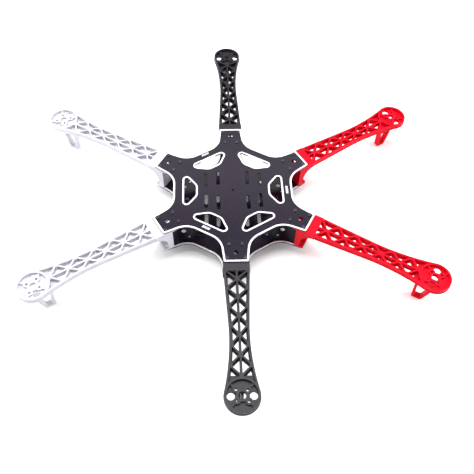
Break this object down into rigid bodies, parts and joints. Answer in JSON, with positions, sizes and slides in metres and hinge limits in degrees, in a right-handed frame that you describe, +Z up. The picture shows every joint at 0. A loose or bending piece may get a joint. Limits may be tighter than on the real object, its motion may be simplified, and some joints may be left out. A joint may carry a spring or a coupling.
{
  "type": "hexacopter airframe",
  "caption": "Bare six-arm multirotor airframe: two circuit-board plates clamp six moulded lattice arms with integral landing legs, ready for motors and electronics",
  "frame": {"origin": "on the floor under the centre of the hexagon, level with the soles of the six legs", "axes": "+Z up; the front black arm points to -Y and the rear black arm to +Y; the red arms are on the +X side and the white arms on the -X side"},
  "size_m": [0.5166, 0.5902, 0.0566],
  "materials": {
    "plate_laminate": "black solder-masked glass-epoxy laminate, 1.6 mm, satin, with a white printed outline",
    "arm_black": "black glass-filled nylon, moulded, low sheen",
    "arm_red": "red glass-filled nylon, moulded, satin sheen",
    "arm_white": "white glass-filled nylon, moulded, satin sheen",
    "screw_steel": "black-oxide steel socket screws",
    "insert_brass": "turned brass threaded inserts",
    "solder": "tinned copper solder pads"
  },
  "bodies": {
    "root": {"top_plate": "plate_laminate", "bottom_plate": "plate_laminate", "controller_solder_pads": "solder", "battery_solder_pads": "solder", "arm_front": "arm_black", "arm_rear": "arm_black", "arm_right_front": "arm_red", "arm_right_rear": "arm_red", "arm_left_front": "arm_white", "arm_left_rear": "arm_white", "top_screws_front": "screw_steel", "top_screws_rear": "screw_steel", "top_screws_right_front": "screw_steel", "top_screws_right_rear": "screw_steel", "top_screws_left_front": "screw_steel", "top_screws_left_rear": "screw_steel", "bottom_screws_front": "screw_steel", "bottom_screws_rear": "screw_steel", "bottom_screws_right_front": "screw_steel", "bottom_screws_right_rear": "screw_steel", "bottom_screws_left_front": "screw_steel", "bottom_screws_left_rear": "screw_steel", "top_inserts_front": "insert_brass", "top_inserts_rear": "insert_brass", "top_inserts_right_front": "insert_brass", "top_inserts_right_rear": "insert_brass", "top_inserts_left_front": "insert_brass", "top_inserts_left_rear": "insert_brass", "bottom_inserts_front": "insert_brass", "bottom_inserts_rear": "insert_brass", "bottom_inserts_right_front": "insert_brass", "bottom_inserts_right_rear": "insert_brass", "bottom_inserts_left_front": "insert_brass", "bottom_inserts_left_rear": "insert_brass"}
  },
  "joints": []
}
